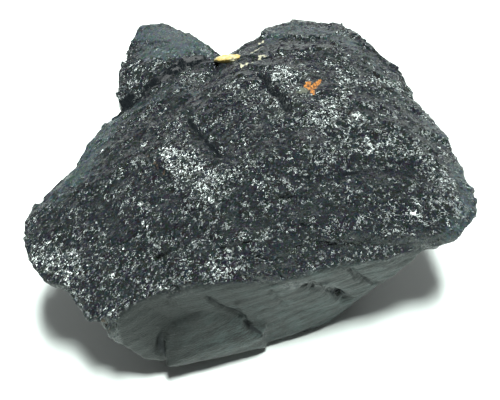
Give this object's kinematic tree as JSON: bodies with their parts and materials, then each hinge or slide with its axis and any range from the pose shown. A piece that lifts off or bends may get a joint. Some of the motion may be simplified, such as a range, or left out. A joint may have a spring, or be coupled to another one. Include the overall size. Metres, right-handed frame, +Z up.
{
  "type": "black tourmaline stone",
  "caption": "Rough black tourmaline stone with two blunt peaks, a glinting broken top and a smooth striated front face, resting on a flat foot.",
  "frame": {"origin": "middle of the bounding box, at the level the stone rests on", "axes": "+X along the stone's long side, towards its right wing as seen from the smooth striated face; -Y out of that face; +Z up"},
  "size_m": [0.0832, 0.0726, 0.0371],
  "materials": {
    "schorl": "glinting, broken",
    "feldspar": "matte"
  },
  "bodies": {
    "root": {"tourmaline": "schorl", "feldspar_scrap": "feldspar"}
  },
  "joints": []
}
